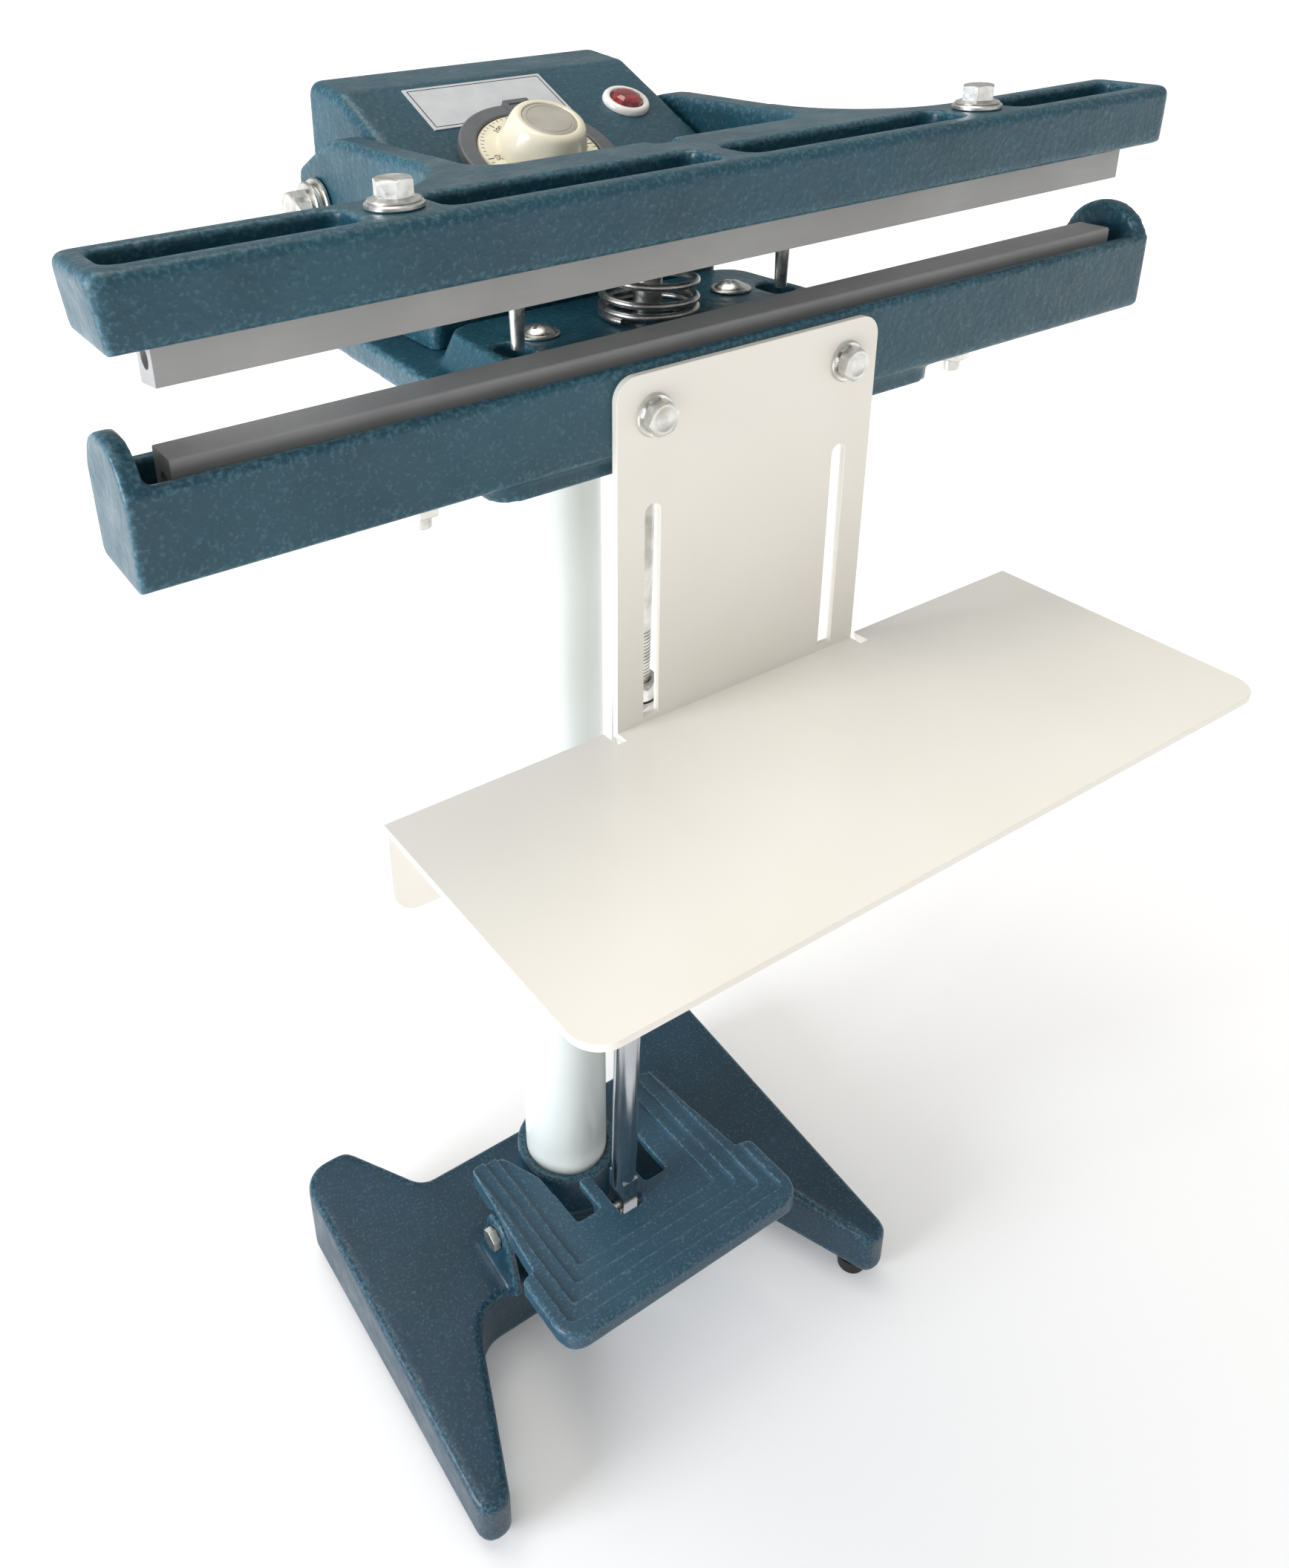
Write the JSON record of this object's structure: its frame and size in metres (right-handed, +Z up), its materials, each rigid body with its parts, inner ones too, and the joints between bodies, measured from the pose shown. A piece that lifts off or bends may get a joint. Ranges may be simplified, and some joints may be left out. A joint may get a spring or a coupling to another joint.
{
  "type": "pedestal heat sealer",
  "caption": "Foot-operated pedestal heat sealer: a long hinged upper jaw closes on a fixed lower heat bar over a work shelf, with a thermostat dial.",
  "frame": {"origin": "middle of the footprint on the floor", "axes": "+X along the seal bars, +Y towards the back, +Z up"},
  "size_m": [0.3236, 0.2426, 0.5009],
  "materials": {
    "blue_enamel": "hammered",
    "white_enamel": "semi-gloss",
    "bare_aluminium": "satin",
    "zinc_steel": "bright zinc",
    "chromed_bar": "polished",
    "spring_steel": "oiled",
    "heater_sheath": "dull",
    "bronze": "satin",
    "mica": "matt",
    "black_rubber": "matt",
    "ivory_plastic": "gloss",
    "grey_plastic": "satin",
    "white_plastic": "gloss",
    "black_plastic": "satin",
    "red_lens": "gloss",
    "label_film": "satin"
  },
  "bodies": {
    "frame": {"base_casting": "blue_enamel", "rubber_feet": "black_rubber", "foot_screws": "zinc_steel", "column_tube": "white_enamel", "base_grub_screws": "zinc_steel", "head_grub_screws": "zinc_steel", "lower_jaw_casting": "blue_enamel", "lower_heat_bar": "bare_aluminium", "lower_heater": "heater_sheath", "bar_insulators": "mica", "lower_bar_studs": "zinc_steel", "lower_bar_nuts": "zinc_steel", "rod_guide_plate": "zinc_steel", "rod_guide_bush": "bronze", "deck_screws": "zinc_steel", "deck_washers": "zinc_steel", "guide_nuts": "zinc_steel", "return_spring": "spring_steel", "jaw_pivot_bolts": "zinc_steel", "jaw_pivot_washers": "zinc_steel", "jaw_spacers": "zinc_steel", "control_box": "blue_enamel", "rear_cover": "blue_enamel", "rear_cover_screws": "zinc_steel", "cord_gland": "black_plastic", "dial_bezel": "grey_plastic", "thermostat_body": "black_plastic", "lamp_ring": "white_plastic", "lamp_lens": "red_lens", "lamp_body": "black_plastic", "label_plate": "label_film", "terminal_block": "white_plastic", "work_shelf": "white_enamel", "shelf_bolts": "zinc_steel", "shelf_washers": "zinc_steel"},
    "upper_jaw": {"upper_jaw_casting": "blue_enamel", "upper_heat_bar": "bare_aluminium", "upper_heater": "heater_sheath", "upper_bar_bolts": "zinc_steel", "upper_bar_washers": "zinc_steel", "locating_pins": "zinc_steel", "jaw_rod_pin": "zinc_steel", "jaw_pivot_bushes": "bronze"},
    "pull_rod": {"pull_rod_lower": "chromed_bar", "rod_coupling": "zinc_steel", "rod_lock_nut": "zinc_steel", "pull_rod_upper": "zinc_steel"},
    "pedal": {"pedal_casting": "blue_enamel", "pedal_pivot_bolts": "zinc_steel", "pedal_rod_pin": "zinc_steel"},
    "knob": {"dial_disc": "ivory_plastic", "control_knob": "ivory_plastic", "knob_cap": "ivory_plastic", "thermostat_shaft": "zinc_steel"}
  },
  "joints": [
    {"name": "jaw_hinge", "type": "hinge", "parent": "frame", "child": "upper_jaw", "pos_m": [0, 0.08325, 0.4685], "axis": [1, 0, 0], "range_deg": [0, 7.77], "stiffness_Nm_per_rad": 8, "springref_deg": -20.05, "deforming": ["return_spring"]},
    {"name": "rod_pull", "type": "slide", "parent": "frame", "child": "pull_rod", "axis": [0, 0.0284, -0.9996], "range_m": [0, 0.01027]},
    {"name": "pedal_hinge", "type": "hinge", "parent": "frame", "child": "pedal", "pos_m": [0, 0.03925, 0.056], "axis": [1, 0, 0], "range_deg": [0, 30.13]},
    {"name": "knob_turn", "type": "hinge", "parent": "frame", "child": "knob", "pos_m": [-0.008, 0.04903, 0.48019], "axis": [0, -0.4324, 0.9017], "range_deg": [-120, 150]}
  ],
  "couplings": [
    {"joint": "rod_pull", "follows": "jaw_hinge", "m_per_rad": 0.07578},
    {"joint": "pedal_hinge", "follows": "jaw_hinge", "ratio": 3.877}
  ]
}
